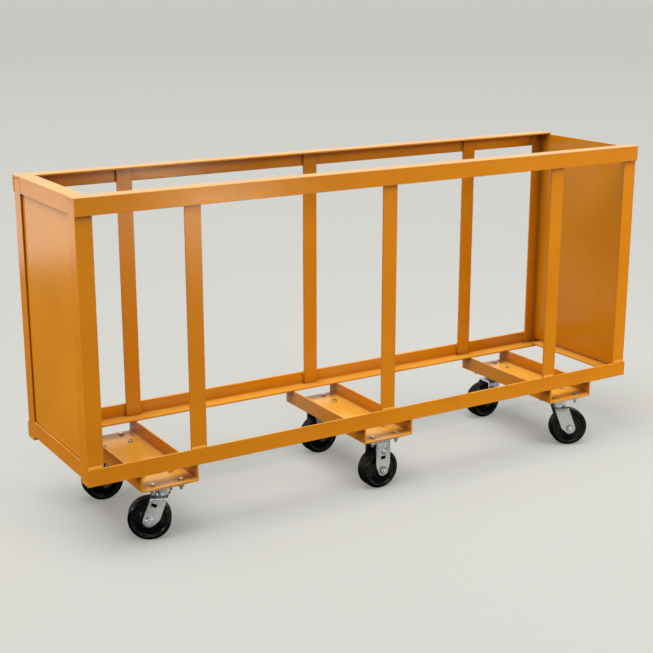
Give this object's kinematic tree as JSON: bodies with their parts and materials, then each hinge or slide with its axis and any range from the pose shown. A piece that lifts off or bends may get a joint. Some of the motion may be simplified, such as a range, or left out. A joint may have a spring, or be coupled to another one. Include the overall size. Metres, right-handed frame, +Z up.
{
  "type": "pipe cart",
  "caption": "Long narrow open-topped cart of welded steel angle with slatted sides and closed ends, rolling on swivelling end casters and rigid middle casters.",
  "frame": {"origin": "on the floor under the middle of the cart", "axes": "+X along the cart to its right, +Y from its front to its back, +Z up"},
  "size_m": [2.063, 0.5089, 1.067],
  "materials": {
    "orange_paint": "glossy orange enamel over steel",
    "zinc_plate": "bright zinc plate",
    "bearing_steel": "ground steel with a film of grease",
    "black_wheel": "glossy black moulded phenolic"
  },
  "bodies": {
    "frame": {"top_rail_front": "orange_paint", "top_rail_back": "orange_paint", "top_rail_left": "orange_paint", "top_bar_right": "orange_paint", "bottom_rail_front": "orange_paint", "bottom_rail_back": "orange_paint", "bottom_rail_left": "orange_paint", "bottom_rail_right": "orange_paint", "corner_post_front_left": "orange_paint", "corner_post_front_right": "orange_paint", "corner_post_back_left": "orange_paint", "corner_post_back_right": "orange_paint", "end_panel_left": "orange_paint", "end_panel_right": "orange_paint", "slat_front_left": "orange_paint", "slat_front_middle": "orange_paint", "slat_front_right": "orange_paint", "slat_back_left": "orange_paint", "slat_back_middle": "orange_paint", "slat_back_right": "orange_paint", "caster_channel_left": "orange_paint", "caster_channel_middle": "orange_paint", "caster_channel_right": "orange_paint", "mounting_bolts": "zinc_plate", "mounting_washers": "zinc_plate", "mounting_nuts": "zinc_plate", "swivel_plate_front_left": "zinc_plate", "swivel_plate_front_right": "zinc_plate", "swivel_plate_back_left": "zinc_plate", "swivel_plate_back_right": "zinc_plate", "kingpins": "zinc_plate", "kingpin_nuts": "zinc_plate", "rigid_plate_front_middle": "zinc_plate", "rigid_plate_back_middle": "zinc_plate", "rigid_fork_front_middle": "zinc_plate", "rigid_fork_back_middle": "zinc_plate", "rigid_axle_bolts": "zinc_plate", "rigid_axle_nuts": "zinc_plate", "swivel_balls": "bearing_steel", "rigid_axle_bushes": "bearing_steel"},
    "swivel_front_left": {"swivel_fork_front_left": "zinc_plate", "axle_set_front_left": "zinc_plate"},
    "rolling_front_left": {"wheel_front_left": "black_wheel", "roller_bearing_front_left": "bearing_steel"},
    "swivel_front_right": {"swivel_fork_front_right": "zinc_plate", "axle_set_front_right": "zinc_plate"},
    "rolling_front_right": {"wheel_front_right": "black_wheel", "roller_bearing_front_right": "bearing_steel"},
    "swivel_back_left": {"swivel_fork_back_left": "zinc_plate", "axle_set_back_left": "zinc_plate"},
    "rolling_back_left": {"wheel_back_left": "black_wheel", "roller_bearing_back_left": "bearing_steel"},
    "swivel_back_right": {"swivel_fork_back_right": "zinc_plate", "axle_set_back_right": "zinc_plate"},
    "rolling_back_right": {"wheel_back_right": "black_wheel", "roller_bearing_back_right": "bearing_steel"},
    "rolling_front_middle": {"wheel_front_middle": "black_wheel", "roller_bearing_front_middle": "bearing_steel"},
    "rolling_back_middle": {"wheel_back_middle": "black_wheel", "roller_bearing_back_middle": "bearing_steel"}
  },
  "joints": [
    {"name": "swivel_turn_front_left", "type": "hinge", "parent": "frame", "child": "swivel_front_left", "pos_m": [-0.777, -0.1904, 0.15], "axis": [0, 0, 1], "continuous": true},
    {"name": "wheel_roll_front_left", "type": "hinge", "parent": "swivel_front_left", "child": "rolling_front_left", "pos_m": [-0.81264, -0.17224, 0.066], "axis": [-0.454, -0.891, 0], "continuous": true},
    {"name": "swivel_turn_front_right", "type": "hinge", "parent": "frame", "child": "swivel_front_right", "pos_m": [0.777, -0.1904, 0.15], "axis": [0, 0, 1], "continuous": true},
    {"name": "wheel_roll_front_right", "type": "hinge", "parent": "swivel_front_right", "child": "rolling_front_right", "pos_m": [0.81325, -0.2073, 0.066], "axis": [0.4226, 0.9063, 0], "continuous": true},
    {"name": "swivel_turn_back_left", "type": "hinge", "parent": "frame", "child": "swivel_back_left", "pos_m": [-0.777, 0.1904, 0.15], "axis": [0, 0, 1], "continuous": true},
    {"name": "wheel_roll_back_left", "type": "hinge", "parent": "swivel_back_left", "child": "rolling_back_left", "pos_m": [-0.817, 0.1904, 0.066], "axis": [0, -1, 0], "continuous": true},
    {"name": "swivel_turn_back_right", "type": "hinge", "parent": "frame", "child": "swivel_back_right", "pos_m": [0.777, 0.1904, 0.15], "axis": [0, 0, 1], "continuous": true},
    {"name": "wheel_roll_back_right", "type": "hinge", "parent": "swivel_back_right", "child": "rolling_back_right", "pos_m": [0.737, 0.1904, 0.066], "axis": [0, -1, 0], "continuous": true},
    {"name": "wheel_roll_front_middle", "type": "hinge", "parent": "frame", "child": "rolling_front_middle", "pos_m": [0, -0.1904, 0.066], "axis": [0, 1, 0], "continuous": true},
    {"name": "wheel_roll_back_middle", "type": "hinge", "parent": "frame", "child": "rolling_back_middle", "pos_m": [0, 0.1904, 0.066], "axis": [0, 1, 0], "continuous": true}
  ]
}
